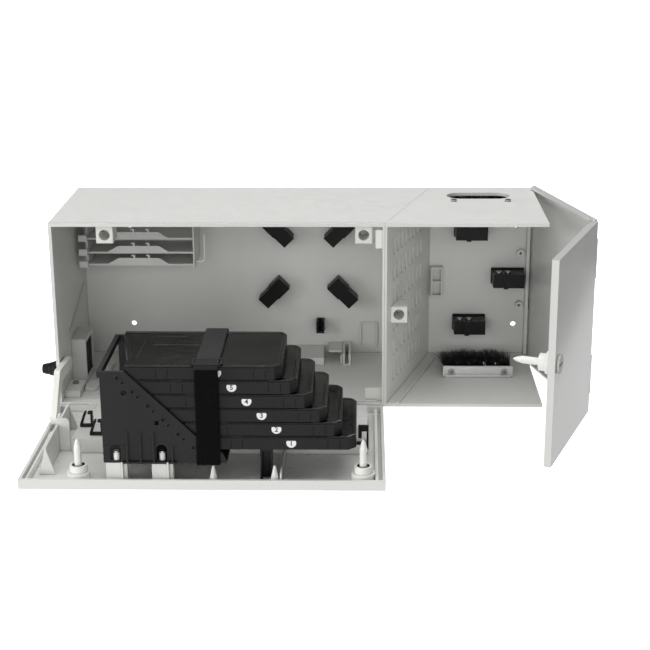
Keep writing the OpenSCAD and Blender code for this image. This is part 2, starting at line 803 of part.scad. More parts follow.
// top view of a tray from its pivot, drawn in by inset
module tray_outline(inset) {
    r = 10 - inset;
    x1 = tray_len - inset;
    y0 = tray_y0 + inset;
    y1 = tray_y1 - inset;
    polygon([[6 + inset, y0], [x1 - 7, y0], [x1, y0 + 7], [x1, y1 - r], [x1 - r, y1], [-8 + inset, y1],
             [-8 + inset, y1 - 10], [6 + inset, y0 + 22]]);
    translate([x1 - r, y1 - r]) circle(r);
}

module tray(k) {
    p = pivot(k);
    wall_t = 1.8;
    color(black) place() translate([p[0], 0, p[1]]) {
        difference() {
            union() {
                translate([0, 0, -tray_drop]) linear_extrude(tray_h) tray_outline(0);
                // hinge arms reach back to the pivot pins
                for (y = [tray_y0, tray_y1 - 4]) {
                    block(-3, y, -tray_drop, 8, y + 4, 4);
                    along_y(0, y, 0, 2.9, 4);
                }
                along_y(0, tray_y0 - 2.6, 0, pivot_r, 5);
                along_y(0, tray_y1 - 3, 0, pivot_r, 5.2);
            }
            translate([0, 0, -tray_drop + 1.6]) linear_extrude(tray_h) tray_outline(wall_t);
            // clip slits in the front wall
            for (x = [34, 44.5, 122, 133]) block(x, tray_y0 - eps, -1.2, x + 0.9, tray_y0 + 0.9, 6.6);
            // long groove under the lid
            block(9, tray_y0 - eps, tray_h - tray_drop - 0.8,
                  tray_len - 10, tray_y0 + 0.6, tray_h - tray_drop - 0.2);
        }
        // grooved splice holder and fibre hubs on the tray floor
        difference() {
            block(60, -151, -tray_drop + 1.6, 88, -113, 3);
            for (y = [0:5]) block(60 - eps, -148.5 + 6 * y, 2.4, 88 + eps, -145.5 + 6 * y, 3 + eps);
        }
        for (x = [30, 118]) along_z(x, -130, -tray_drop + 1.6, 13, 5);
    }
}

module tray_lid(k) {
    p = pivot(k);
    color(black) place() translate([p[0], 0, p[1] - tray_drop + tray_h]) {
        linear_extrude(lid_t) tray_outline(0.5);
    }
}

// ---------- side door ----------

module at_side() {
    place() translate([side_x, side_y, 0]) rotate([0, 0, side_open])
        translate([-side_x, -side_y, 0]) children();
}
module at_fold() {
    at_side() translate([fold_x, fold_y, 0]) rotate([0, 0, fold_open])
        translate([-fold_x, -fold_y, 0]) children();
}

module side_panel() {
    clear = side_r + 0.6;
    x0 = side_x;
    x1 = side_x + panel_t;
    around = knuckle_l / 2 + lug_l + 2 * gap;
    color(grey) at_side() difference() {
        union() {
            block(x0, fold_y + clear, panel_z0, x1, side_y - clear, panel_z0 + panel_h);
            // the edge beside the hinges, clear of the housing's own knuckles
            for (z = [[panel_z0, side_at[0] - around], [side_at[0] + around, side_at[1] - around],
                      [side_at[1] + around, panel_z0 + panel_h]])
                block(x0, side_y - clear - eps, z[0], x1, side_y, z[1]);
            for (z = side_at) {
                block(x0, side_y - clear - eps, z - knuckle_l / 2, x1, side_y, z + knuckle_l / 2);
                along_z(side_x, side_y, z - knuckle_l / 2, side_r, knuckle_l);
                for (s = [0, knuckle_l + 2 * gap + lug_l]) {
                    z0 = z - knuckle_l / 2 - gap - lug_l + s;
                    block(x0, fold_y, z0, x1, fold_y + clear + eps, z0 + lug_l);
                    along_z(fold_x, fold_y, z0, side_r, lug_l);
                }
            }
            // rims over and under the housing
            block(x0 - 5, 3, panel_z0 + panel_h - panel_rim, x1, side_y - 8, panel_z0 + panel_h);
            block(x0 - 5, 3, panel_z0, x1, side_y - 8, panel_z0 + panel_rim);
        }
        for (z = side_at) {
            along_z(side_x, side_y, z - knuckle_l, pin_r + fit, 2 * knuckle_l);
            along_z(fold_x, fold_y, z - knuckle_l, pin_r + fit, 2 * knuckle_l);
        }
        // long groove near the top edge
        block(x1 - 0.5, 6, panel_z0 + panel_h - 6.5, x1 + eps, side_y - 12, panel_z0 + panel_h - 5.7);
    }
}

module fold_hinge_pins() {
    l = 2 * knuckle_l;
    color(metal) at_side() for (z = side_at) along_z(fold_x, fold_y, z - l / 2, pin_r, l);
}

module front_panel() {
    clear = side_r + 0.6;
    y0 = panel_y0;
    y1 = panel_y0 + panel_t;
    x1 = fold_x - clear;
    back = -0.6;
    color(grey) at_fold() difference() {
        union() {
            block(free_x, y0, panel_z0, x1, y1, panel_z0 + panel_h);
            for (z = side_at) {
                block(x1 - eps, y0, z - knuckle_l / 2, fold_x, y1, z + knuckle_l / 2);
                along_z(fold_x, fold_y, z - knuckle_l / 2, side_r, knuckle_l);
            }
            for (z = [panel_z0, panel_z0 + panel_h - panel_rim])
                block(free_x, y0, z, x1 - 6, back, z + panel_rim);
            block(free_x, y0, panel_z0, free_x + 2.2, back, panel_z0 + panel_h);
            // double lip at the lower free corner
            block(free_x, y0, panel_z0 + 4, free_x + 14, back - 2, panel_z0 + 5.6);
        }
        for (z = side_at) along_z(fold_x, fold_y, z - knuckle_l, pin_r + fit, 2 * knuckle_l);
        along_y(side_lock_x, y0 - eps, side_lock_z, lock_pin_r + 0.3, panel_t + 2 * eps);
    }
}

module at_side_lock() {
    at_fold() translate([side_lock_x, panel_y0 + panel_t, side_lock_z]) rotate([-90, 0, 0]) children();
}
module side_bezel() { color(white) at_side_lock() lock_bezel(); }
module side_lock_pin() { at_side_lock() lock_pin(panel_t); }

main_housing();
side_housing();
lock_receivers();
door_pads();
fibre_organiser();
wire_clip();
fibre_guides();
fibre_clip();
cable_entry_frame();
entry_seal();
cable_gland();
stay_track();
floor_block();
floor_screws();
cable_comb();
cable_channel();
earth_terminal();
adapter_frame();
cable_clamps();
clamp_screws();
floor_brush_holder();
floor_brush();
top_brush_holder();
top_brush();
brush_screws();
main_hinge_pins();
side_hinge_pins();
main_door();
tray_base();
bracket_blocks();
tray_bracket();
bracket_sleeves();
bracket_screws();
strap();
strap_buckle();
support_leg();
cable_clips();
side_clip();
lock_bezels();
stay_pin();
lock_pin_left();
lock_pin_right();
stay_arm();
for (k = [1:tray_count]) tray(k);
for (k = [1:tray_count]) tray_lid(k);
side_panel();
fold_hinge_pins();
front_panel();
side_bezel();
side_lock_pin();
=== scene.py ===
"""Looks of the fibre termination box: materials for the CAD nodes, and its soft and fine pieces.

Positions are written in millimetres from the housing's outer lower front left corner, as in the part's own
source. at() turns them into the frame's metres, and in_mm() turns them back.
"""

import json
import math
import random

import bmesh
import bpy
from mathutils import Matrix, Vector, noise


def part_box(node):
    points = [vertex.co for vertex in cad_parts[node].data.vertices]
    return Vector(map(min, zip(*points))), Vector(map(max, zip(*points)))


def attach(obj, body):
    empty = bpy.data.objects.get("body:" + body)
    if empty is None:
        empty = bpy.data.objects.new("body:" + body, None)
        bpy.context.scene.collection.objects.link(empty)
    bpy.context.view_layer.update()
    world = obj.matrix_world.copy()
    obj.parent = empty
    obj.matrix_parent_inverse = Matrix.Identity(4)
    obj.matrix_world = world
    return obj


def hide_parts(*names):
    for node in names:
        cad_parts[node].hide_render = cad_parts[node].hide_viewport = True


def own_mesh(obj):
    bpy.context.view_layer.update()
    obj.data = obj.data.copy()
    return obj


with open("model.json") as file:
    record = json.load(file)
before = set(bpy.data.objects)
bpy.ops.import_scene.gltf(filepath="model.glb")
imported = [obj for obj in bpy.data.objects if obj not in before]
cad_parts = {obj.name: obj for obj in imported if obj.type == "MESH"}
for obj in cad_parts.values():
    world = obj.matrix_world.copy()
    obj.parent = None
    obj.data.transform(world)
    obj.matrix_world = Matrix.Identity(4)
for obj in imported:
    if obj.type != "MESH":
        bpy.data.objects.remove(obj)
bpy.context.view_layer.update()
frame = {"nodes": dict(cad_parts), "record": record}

MM = 0.001
CORNER = Vector((-0.270, -0.168, -0.095))
SCENE = bpy.context.scene
TRAYS = range(1, 7)
TOP_TRAY = TRAYS[-1]


def at(x, y, z):
    """A point given in millimetres from the housing's corner, in the frame's metres."""
    return CORNER + Vector((x, y, z)) * MM


def in_mm(point):
    """A point of the frame in millimetres from the housing's corner."""
    return (point - CORNER) / MM


def turns(sides):
    """Angles of the corners of a regular polygon."""
    return [2 * math.pi * s / sides for s in range(sides)]


# ---------- materials ----------


class Shader:
    """A Principled material under construction, with short calls for the nodes that every finish needs."""

    def __init__(self, name):
        self.material = bpy.data.materials.new(name)
        self.material.use_nodes = True
        self.tree = self.material.node_tree
        self.bsdf = self.tree.nodes["Principled BSDF"]
        self.coord = self.tree.nodes.new("ShaderNodeTexCoord").outputs["Object"]
        self.normal = None

    def node(self, kind, **inputs):
        made = self.tree.nodes.new(kind)
        for name, value in inputs.items():
            made.inputs[name.replace("_", " ")].default_value = value
        return made

    def link(self, a, b):
        self.tree.links.new(a, b)

    def noise(self, size_mm, detail=3.0, stretch=(1, 1, 1)):
        """Noise whose features are about size_mm across, longer along axes with a small stretch."""
        mapping = self.node("ShaderNodeMapping")
        mapping.inputs["Scale"].default_value = stretch
        self.link(self.coord, mapping.inputs["Vector"])
        made = self.node("ShaderNodeTexNoise", Scale=1 / (size_mm * MM), Detail=detail)
        self.link(mapping.outputs["Vector"], made.inputs["Vector"])
        return made.outputs["Fac"]

    def ramp(self, fac, stops):
        made = self.tree.nodes.new("ShaderNodeValToRGB")
        for k, (place, value) in enumerate(stops):
            element = made.color_ramp.elements[k] if k < 2 else made.color_ramp.elements.new(place)
            element.position = place
            element.color = value if len(value) == 4 else (*value, 1)
        self.link(fac, made.inputs["Fac"])
        return made.outputs["Color"]

    def mix(self, fac, a, b):
        made = self.tree.nodes.new("ShaderNodeMix")
        made.data_type = "RGBA"
        self.link(fac, made.inputs[0])
        for value, socket in ((a, made.inputs[6]), (b, made.inputs[7])):
            if isinstance(value, tuple):
                socket.default_value = (*value, 1)
            else:
                self.link(value, socket)
        return made.outputs[2]

    def rounded(self, radius_mm):
        """Edges catch the light as if rounded."""
        bevel = self.node("ShaderNodeBevel", Radius=radius_mm * MM)
        bevel.samples = 4
        self.normal = bevel.outputs["Normal"]
        return self.normal

    def edge_mask(self):
        """1 on an outer edge, 0 on a flat face."""
        geometry = self.tree.nodes.new("ShaderNodeNewGeometry")
        dot = self.tree.nodes.new("ShaderNodeVectorMath")
        dot.operation = "DOT_PRODUCT"
        self.link(geometry.outputs["Normal"], dot.inputs[0])
        self.link(self.normal, dot.inputs[1])
        return self.ramp(dot.outputs["Value"], [(0.80, (1, 1, 1)), (0.985, (0, 0, 0))])

    def crevices(self, colour, reach_mm, depth):
        """Paints shade into the colour where another surface stands close: darker in corners, recesses and
        narrow gaps.
        """
        cover = self.node("ShaderNodeAmbientOcclusion", Distance=reach_mm * MM)
        cover.samples = 8
        shade = self.ramp(cover.outputs["AO"], [(0.25, grey_of(1 - depth)), (0.85, (1, 1, 1))])
        made = self.tree.nodes.new("ShaderNodeMix")
        made.data_type = "RGBA"
        made.blend_type = "MULTIPLY"
        made.inputs[0].default_value = 1.0
        self.link(colour, made.inputs[6])
        self.link(shade, made.inputs[7])
        return made.outputs[2]

    def bump(self, height, strength, distance_mm):
        bump = self.node("ShaderNodeBump", Strength=strength, Distance=distance_mm * MM)
        self.link(height, bump.inputs["Height"])
        if self.normal is not None:
            self.link(self.normal, bump.inputs["Normal"])
        self.normal = bump.outputs["Normal"]

    def done(self):
        if self.normal is not None:
            self.link(self.normal, self.bsdf.inputs["Normal"])
        return self.material


def grey_of(value):
    return (value, value, value)


def scaled(colour, factor):
    return tuple(min(1, c * factor) for c in colour)


def moulded(name, colour, rough, rough_spread=0.08, grain_mm=0.5, grain=0.12, spread=0.05, edge=0.25,
            round_mm=0.4, specular=0.45, depth=0.5):
    """Injection-moulded plastic: fine eroded grain, faint mottling, edges lighter by wear and a painted
    highlight, and painted shade in corners and recesses.
    """
    clouds_mm, patches_mm, specks_mm, gloss_mm, corner_mm = 60, 25, 3.5, 8, 2.5
    s = Shader(name)
    s.rounded(round_mm)
    mask = s.edge_mask()
    clouds = [(0.3, scaled(colour, 1 - spread)), (0.7, scaled(colour, 1 + spread))]
    tone = s.ramp(s.noise(clouds_mm, 4), clouds)
    speck = s.ramp(s.noise(specks_mm, 5), [(0.42, scaled(colour, 1 - spread * 0.6)), (0.6, colour)])
    base = s.mix(s.noise(patches_mm, 2), tone, speck)
    # edges lightened towards pale grey: partly wear, partly a painted highlight
    worn_and_highlit = tuple(min(1, c + edge * (0.9 - c) * 0.5) for c in colour)
    # painted shade: the colour darkens in corners and recesses
    s.link(s.crevices(s.mix(mask, base, worn_and_highlit), corner_mm, depth), s.bsdf.inputs["Base Color"])
    rough_stops = [(0.3, grey_of(rough - rough_spread)), (0.7, grey_of(rough + rough_spread))]
    s.link(s.ramp(s.noise(gloss_mm, 4), rough_stops), s.bsdf.inputs["Roughness"])
    s.bsdf.inputs["Specular IOR Level"].default_value = specular
    s.bump(s.noise(grain_mm, 2), grain, 0.05)
    return s.done()


def glossy_panel(name, colour, rough):
    """Polished door skin: a faint orange peel, slow waves and hairline scuffs."""
    peel_mm, waves_mm = 2.2, 70
    s = Shader(name)
    s.rounded(0.5)
    mask = s.edge_mask()
    tone = s.ramp(s.noise(80, 3), [(0.3, scaled(colour, 0.97)), (0.7, colour)])
    # edges lighter than the panel: partly wear, partly a painted highlight
    s.link(s.mix(mask, tone, scaled(colour, 1.08)), s.bsdf.inputs["Base Color"])
    scuffs = s.noise(1.2, 3, stretch=(1, 0.08, 0.4))
    gloss = s.ramp(scuffs, [(0.45, grey_of(rough)), (0.75, grey_of(rough + 0.10))])
    s.link(gloss, s.bsdf.inputs["Roughness"])
    s.bsdf.inputs["Specular IOR Level"].default_value = 0.6
    s.bump(s.noise(peel_mm, 2), 0.05, 0.03)
    s.bump(s.noise(waves_mm, 1), 0.12, 0.5)
    return s.done()


def metal(name, colour, rough, stretch, round_mm=0.25):
    """Drawn or brushed metal with its lines along the axis that has the small stretch."""
    s = Shader(name)
    s.rounded(round_mm)
    lines = s.noise(0.5, 3, stretch=stretch)
    tone = s.ramp(lines, [(0.3, scaled(colour, 0.86)), (0.7, colour)])
    # painted shade: the metal's colour darkens in corners and recesses
    s.link(s.crevices(tone, reach_mm=3.0, depth=0.75), s.bsdf.inputs["Base Color"])
    gloss = s.ramp(lines, [(0.3, grey_of(rough - 0.07)), (0.7, grey_of(rough + 0.08))])
    s.link(gloss, s.bsdf.inputs["Roughness"])
    s.bsdf.inputs["Metallic"].default_value = 1.0
    s.bump(lines, 0.25, 0.03)
    return s.done()


def loop_fabric(name):
    """Knitted loop side of a hook-and-loop tape."""
    s = Shader(name)
    fuzz = s.noise(0.45, 6)
    clumps = s.noise(2.2, 4)
    s.link(s.ramp(fuzz, [(0.35, grey_of(0.001)), (0.72, grey_of(0.010))]), s.bsdf.inputs["Base Color"])
    s.bsdf.inputs["Roughness"].default_value = 0.95
    s.bsdf.inputs["Specular IOR Level"].default_value = 0.05
    s.bsdf.inputs["Sheen Weight"].default_value = 0.03
    s.bsdf.inputs["Sheen Roughness"].default_value = 0.4
    s.bump(clumps, 0.7, 0.5)
    s.bump(fuzz, 0.9, 0.35)
    return s.done()


def woven_tape(name):
    """Flat woven back of the tape: fine threads both ways."""
    s = Shader(name)

    def threads(direction, scale, distortion):
        wave = s.node("ShaderNodeTexWave", Scale=scale, Distortion=distortion, Detail=1.0)
        wave.bands_direction = direction
        s.link(s.coord, wave.inputs["Vector"])
        return wave

    wave = threads("Y", 520.0, 0.6)
    cross = threads("X", 420.0, 0.4)
    tone = s.mix(wave.outputs["Fac"], grey_of(0.006), grey_of(0.020))
    s.link(s.mix(s.noise(6, 3), tone, grey_of(0.012)), s.bsdf.inputs["Base Color"])
    s.bsdf.inputs["Roughness"].default_value = 0.6
    s.bsdf.inputs["Specular IOR Level"].default_value = 0.15
    s.bsdf.inputs["Sheen Weight"].default_value = 0.05
    s.bump(cross.outputs["Fac"], 0.3, 0.1)
    s.bump(wave.outputs["Fac"], 0.5, 0.12)
    return s.done()


def flat_paint(name, colour, rough, specular=0.5):
    """Printed vinyl, ink and other plain surfaces with a faint mottle."""
    s = Shader(name)
    s.link(s.ramp(s.noise(2, 3), [(0.3, scaled(colour, 0.95)), (0.7, colour)]), s.bsdf.inputs["Base Color"])
    s.bsdf.inputs["Roughness"].default_value = rough
    s.bsdf.inputs["Specular IOR Level"].default_value = specular
    s.bump(s.noise(0.8, 2), 0.08, 0.03)
    return s.done()


LOOKS = {
    "housing_grey": (moulded, dict(colour=(0.70, 0.70, 0.68), rough=0.42, grain=0.10, spread=0.02, edge=0.5,
                                   round_mm=0.5)),
    "door_grey": (moulded, dict(colour=(0.71, 0.71, 0.69), rough=0.34, grain=0.06, spread=0.02, edge=0.5,
                                round_mm=0.5)),
    "fitting_grey": (moulded, dict(colour=(0.66, 0.66, 0.64), rough=0.45, grain=0.12, spread=0.03,
                                   edge=0.5)),
    "nylon_white": (moulded, dict(colour=(0.80, 0.80, 0.76), rough=0.38, grain=0.08, spread=0.03, edge=0.3)),
    "black_plastic": (moulded, dict(colour=grey_of(0.009), rough=0.40, grain=0.16, spread=0.25, edge=0.16,
                                    round_mm=0.35, specular=0.18)),
    "lid_black": (moulded, dict(colour=grey_of(0.003), rough=0.17, rough_spread=0.05, grain=0.03, spread=0.2,
                                edge=0.12, round_mm=0.4, specular=0.34)),
    "tray_black": (moulded, dict(colour=grey_of(0.014), rough=0.30, rough_spread=0.06, grain=0.10,
                                 grain_mm=0.8, spread=0.2, edge=0.10, round_mm=0.45, specular=0.16,
                                 depth=0.9)),
    "bracket_black": (moulded, dict(colour=grey_of(0.018), rough=0.42, grain=0.14, spread=0.12, edge=0.24,
                                    round_mm=0.4, specular=0.16, depth=0.8)),
    "black_rubber": (moulded, dict(colour=grey_of(0.006), rough=0.55, grain=0.2, spread=0.3, edge=0.05,
                                   specular=0.2)),
    "aluminium": (metal, dict(colour=(0.78, 0.78, 0.78), rough=0.34, stretch=(0.04, 1, 1))),
    "zinc_steel": (metal, dict(colour=(0.45, 0.45, 0.44), rough=0.26, stretch=(1, 1, 0.3), round_mm=0.15)),
    "side_gloss": (glossy_panel, dict(colour=(0.66, 0.66, 0.64), rough=0.10)),
    "strap_loops": (loop_fabric, {}),
    "strap_tape": (woven_tape, {}),
    "bristle": (flat_paint, dict(colour=grey_of(0.003), rough=0.5, specular=0.12)),
    "label_white": (flat_paint, dict(colour=(0.86, 0.86, 0.84), rough=0.4)),
    "label_ink": (flat_paint, dict(colour=grey_of(0.01), rough=0.5)),
}
FINISH = {name: make(name, **look) for name, (make, look) in LOOKS.items()}

# nodes that don't take the finish named after their slot
OWN_FINISH = {
    "side_panel": "side_gloss",
    "front_panel": "side_gloss",
    "tray_bracket": "bracket_black",
    **{f"tray_{k}": "tray_black" for k in TRAYS},
}

for part in frame["record"]["subparts"]:
    node = frame["nodes"][part["node"]]
    finish = OWN_FINISH.get(part["node"], part["material_slot"])
    node.data.materials.clear()
    node.data.materials.append(FINISH.get(finish, FINISH["black_plastic"]))


# ---------- building pieces ----------


def add_piece(name, mesh, body, finish, replaced=(), smooth=True):
    """A piece that rides on a body, in place of the replaced nodes if there are any."""
    obj = bpy.data.objects.new(name, mesh)
    SCENE.collection.objects.link(obj)
    mesh.materials.append(FINISH[finish])
    for polygon in mesh.polygons:
        polygon.use_smooth = smooth
    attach(obj, body)
    if replaced:
        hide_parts(*replaced)
    return obj


def mesh_of(name, bm):
    bmesh.ops.recalc_face_normals(bm, faces=bm.faces)
    mesh = bpy.data.meshes.new(name)
    bm.to_mesh(mesh)
    bm.free()
    return mesh


def soften(obj, width_mm, segments=2, angle=35):
    """Rounds the piece's edges that are sharper than the angle, and shades the rest smooth."""
    bevel = obj.modifiers.new("soften", "BEVEL")
    bevel.width = width_mm * MM
    bevel.segments = segments
    bevel.limit_method = "ANGLE"
    bevel.angle_limit = math.radians(angle)
    bevel.harden_normals = True
    return obj


def add_block(bm, x0, y0, z0, x1, y1, z1):
    """A box between two corners, in millimetres from the housing's corner."""
    corners = [bm.verts.new(at(x, y, z)) for x in (x0, x1) for y in (y0, y1) for z in (z0, z1)]
    for a, b, c, d in ((0, 1, 3, 2), (4, 6, 7, 5), (0, 4, 5, 1), (2, 3, 7, 6), (0, 2, 6, 4), (1, 5, 7, 3)):
        bm.faces.new([corners[k] for k in (a, b, c, d)])
    return corners


def sweep(bm, rings, closed):
    """Joins rings of vertices, each a list of points, into a tube."""
    made = [[bm.verts.new(p) for p in ring] for ring in rings]
    count = len(made[0])
    pairs = list(zip(made, made[1:])) + ([(made[-1], made[0])] if closed else [])
    for a, b in pairs:
        for k in range(count):
            bm.faces.new([a[k], a[(k + 1) % count], b[(k + 1) % count], b[k]])
    if not closed:
        bm.faces.new(made[0][::-1])
        bm.faces.new(made[-1])
    return made


# ---------- strap ----------

STRAP_LOW, STRAP_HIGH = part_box("strap")
STRAP_X0 = STRAP_LOW.x
STRAP_X1 = STRAP_HIGH.x
STRAP_EDGE = 3 * MM  # how far in from its box's faces the tape still counts as front or top


def strap_path(inset, corner, step):
    """Points (Y, Z) once round the stack, a rounded rectangle drawn in by inset."""
    y0, y1 = STRAP_LOW.y + inset, STRAP_HIGH.y - inset
    z0, z1 = STRAP_LOW.z + inset, STRAP_HIGH.z - inset
    points = []
    centres = (((y0 + corner, z1 - corner), 90), ((y0 + corner, z0 + corner), 180),
               ((y1 - corner, z0 + corner), 270), ((y1 - corner, z1 - corner), 0))
    steps = 6
    for k, ((cy, cz), start) in enumerate(centres):
        turn = [math.radians(start + 90 * t / steps) for t in range(steps + 1)]
        bend = [Vector((cy + corner * math.cos(a), cz + corner * math.sin(a))) for a in turn]
        points += bend
        (ny, nz), next_start = centres[(k + 1) % 4]
        a = math.radians(next_start)
        target = Vector((ny + corner * math.cos(a), nz + corner * math.sin(a)))
        run = target - bend[-1]
        count = max(1, round(run.length / step))
        points += [bend[-1] + run * (t / count) for t in range(1, count)]
    return points


def strap_sway(point):
    """How far the tape strays sideways at a point (Y, Z) of its path."""
    return noise.noise(Vector((0, point.x, point.y)) * 30) * 0.5 * MM


def strap():
    """The tape: loops outward down the front, flat weave elsewhere, one thickness all round."""
    clear, thick, step = 0.3 * MM, 1.3 * MM, 1.1 * MM
    outer = strap_path(clear, 2.6 * MM, step)
    inner = strap_path(clear + thick, 1.3 * MM, step)
    across = 20
    pile, weave, selvedge = 0.28 * MM, 0.05 * MM, 0.35 * MM
    loops_slot, tape_slot = 0, 1
    bm = bmesh.new()
    count = len(outer)
    centre = Vector(((STRAP_LOW.y + STRAP_HIGH.y) / 2, (STRAP_LOW.z + STRAP_HIGH.z) / 2))
    rows = []
    for point in outer:
        row = []
        out = (point - centre).normalized()
        front = point.x < STRAP_LOW.y + STRAP_EDGE
        for k in range(across + 1):
            share = k / across
            x = STRAP_X0 + (STRAP_X1 - STRAP_X0) * share
            drop = selvedge if k in (0, across) else 0.0
            where = Vector((x, point.x, point.y))
            rough = noise.noise(where * 1600) * (pile if front else weave)
            moved = point + out * (rough - drop)
            row.append(bm.verts.new((x + strap_sway(point), moved.x, moved.y)))
        rows.append(row)
    backs = []
    for k in range(count):
        point = inner[round(k / count * len(inner)) % len(inner)]
        sway = strap_sway(outer[k])
        backs.append([bm.verts.new((x + sway, point.x, point.y)) for x in (STRAP_X0, STRAP_X1)])
    for k in range(count):
        n = (k + 1) % count
        on_front = outer[k].x < STRAP_LOW.y + STRAP_EDGE and outer[k].y < STRAP_HIGH.z - STRAP_EDGE
        for c in range(across):
            face = bm.faces.new([rows[k][c], rows[k][c + 1], rows[n][c + 1], rows[n][c]])
            face.material_index = loops_slot if on_front else tape_slot
        for corners in ([backs[k][1], backs[k][0], backs[n][0], backs[n][1]],
                        [backs[k][0], rows[k][0], rows[n][0], backs[n][0]],
                        [rows[k][-1], backs[k][1], backs[n][1], rows[n][-1]]):
            bm.faces.new(corners).material_index = tape_slot
    mesh = mesh_of("strap_band", bm)
    obj = add_piece("strap_band", mesh, "tray_carrier", "strap_loops", ("strap",))
    mesh.materials.append(FINISH["strap_tape"])
    return obj


def strap_layers():
    """The free end folded back over the top: two flat laps and a ribbed grip tab."""
    bm = bmesh.new()
    top = in_mm(STRAP_HIGH).z
    x0, x1 = in_mm(STRAP_LOW).x, in_mm(STRAP_HIGH).x
    add_block(bm, x0 + 0.4, -151.5, top - 0.9, x1 - 0.4, -110, top + 0.15)
    add_block(bm, x0 + 0.2, -168.5, top - 0.8, x1 - 0.2, -152.3, top + 0.5)
    # the grip tab, its ribs and the bars across its two ends
    tab_y0, tab_y1 = -186.6, -168.8
    add_block(bm, x0, tab_y0, top - 0.8, x1, tab_y1, top + 0.2)
    ribs, margin = 13, 0.6
    pitch = (x1 - x0 - 2 * margin) / ribs
    for k in range(ribs):
        x = x0 + margin + pitch * (k + 0.2)
        add_block(bm, x, tab_y0 + 0.3, top + 0.1, x + pitch * 0.6, tab_y1 - 1.4, top + 0.75)
    for y in (tab_y1 - 0.8, tab_y0 - 0.3):
        add_block(bm, x0, y, top - 0.6, x1, y + 0.9, top + 0.8)
    obj = add_piece("strap_laps", mesh_of("strap_laps", bm), "tray_carrier", "strap_tape",
                    smooth=False)
    return soften(obj, 0.2)


def strap_loop():
    """Moulded ring that the tape runs through, its two sides showing beside the tape."""
    low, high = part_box("strap_buckle")
    radius, squeeze = 1.35 * MM, 0.75
    clear = 0.1 * MM
    z = (low.z + high.z) / 2 + clear
    x0, x1 = low.x + radius + clear, high.x - radius - clear
    y0, y1 = low.y + radius, high.y - radius
    corner, steps = 2.2 * MM, 6
    path = []
    for cx, cy, start in ((x1 - corner, y1 - corner, 0), (x0 + corner, y1 - corner, 90),
                          (x0 + corner, y0 + corner, 180), (x1 - corner, y0 + corner, 270)):
        for t in range(steps + 1):
            a = math.radians(start + 90 * t / steps)
            path.append(Vector((cx + corner * math.cos(a), cy + corner * math.sin(a), z)))
    rings = []
    for k, p in enumerate(path):
        along = (path[(k + 1) % len(path)] - path[k - 1]).normalized()
        out = along.cross(Vector((0, 0, 1)))
        rings.append([
            p + out * radius * math.cos(a) + Vector((0, 0, radius * squeeze * math.sin(a)))
            for a in turns(12)
        ])
    bm = bmesh.new()
    sweep(bm, rings, closed=True)
    return add_piece("strap_ring", mesh_of("strap_ring", bm), "tray_carrier", "black_plastic",
                     ("strap_buckle",))


for soft in (strap(), strap_layers(), strap_loop()):
    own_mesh(soft)


# ---------- brushes ----------


def bristles(node, seed, tip_y, lift_mm):
    """Rows of fine bristles that leave their holder flat and fray at both ends and at the tips."""
    low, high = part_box(node)
    rng = random.Random(seed)
    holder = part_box(node + "_holder")
    x0, x1 = holder[0].x + 2 * MM, holder[1].x - 2 * MM
    middle = (low.z + high.z) / 2
    root = low.y - 1.5 * MM
    reach = at(0, tip_y, 0).y - low.y
    rows = 4.4 * MM
    fan_left, fan_right = 14 * MM, 5 * MM
    bm = bmesh.new()
    count, stations, radius = 1500, 4, 0.17 * MM
    for k in range(count):
        share = (k + rng.random()) / count
        x = x0 + (x1 - x0) * share
        side = 2 * share - 1
        fan = side ** 3 * (fan_left if side < 0 else fan_right) * rng.random()
        z = middle + (rng.random() - 0.5) * rows
        wavy = math.sin(share * 15 + seed) * 2.6 + math.sin(share * 41) * 1.3
        length = reach + (wavy + rng.gauss(0, 1.4)) * MM
        if abs(side) > 0.9:
            length *= 1 - 0.35 * rng.random()
        lift = (lift_mm + rng.gauss(0, 1.1)) * MM
        lean = rng.gauss(0, 1.0) * MM + fan
        rings = []
        for s in range(stations):
            t = s / (stations - 1)
            p = Vector((x + lean * t * t, root + length * t, z + lift * t * t))
            size = radius * (1 - 0.55 * t)
            rings.append([p + Vector((size * math.cos(a), 0, size * math.sin(a))) for a in turns(3)])
        sweep(bm, rings, closed=False)
    return add_piece(node + "_bristles", mesh_of(node, bm), "housing", "bristle", (node,))


bristles("floor_brush", seed=3, tip_y=143, lift_mm=0.5)
bristles("top_brush", seed=8, tip_y=161, lift_mm=6.0)


# ---------- tray lids and labels ----------


PIVOT_X, PIVOT_Z = 95, 97  # pivot of the top tray
STEP_X, STEP_Z = 13.3, 13.45  # step from tray to tray
TRAY_FRONT = -183.2


def tray_pivot(k):
    """Left end of tray k where it turns, in millimetres from the housing's corner."""
    return PIVOT_X + STEP_X * (TOP_TRAY - k), PIVOT_Z - STEP_Z * (TOP_TRAY - k)


def outline_points(inset, low, high):
    """Top outline of a lid: a rounded back corner, a cut front corner and the notch at the hinge end."""
    x0, x1 = low.x + inset, high.x - inset
    y0, y1 = low.y + inset, high.y - inset
    notch, notch_front, notch_back, cut = 14 * MM, 22 * MM, 10 * MM, 7 * MM
    radius, steps = 10 * MM - inset, 10
    points = [(x0 + notch, y0), (x1 - cut, y0), (x1, y0 + cut)]
    points += [
        (x1 - radius + radius * math.cos(a), y1 - radius + radius * math.sin(a))
        for a in (math.radians(90 * t / steps) for t in range(steps + 1))
    ]
    points += [(x0, y1), (x0, y1 - notch_back), (x0 + notch, y0 + notch_front)]
    return points


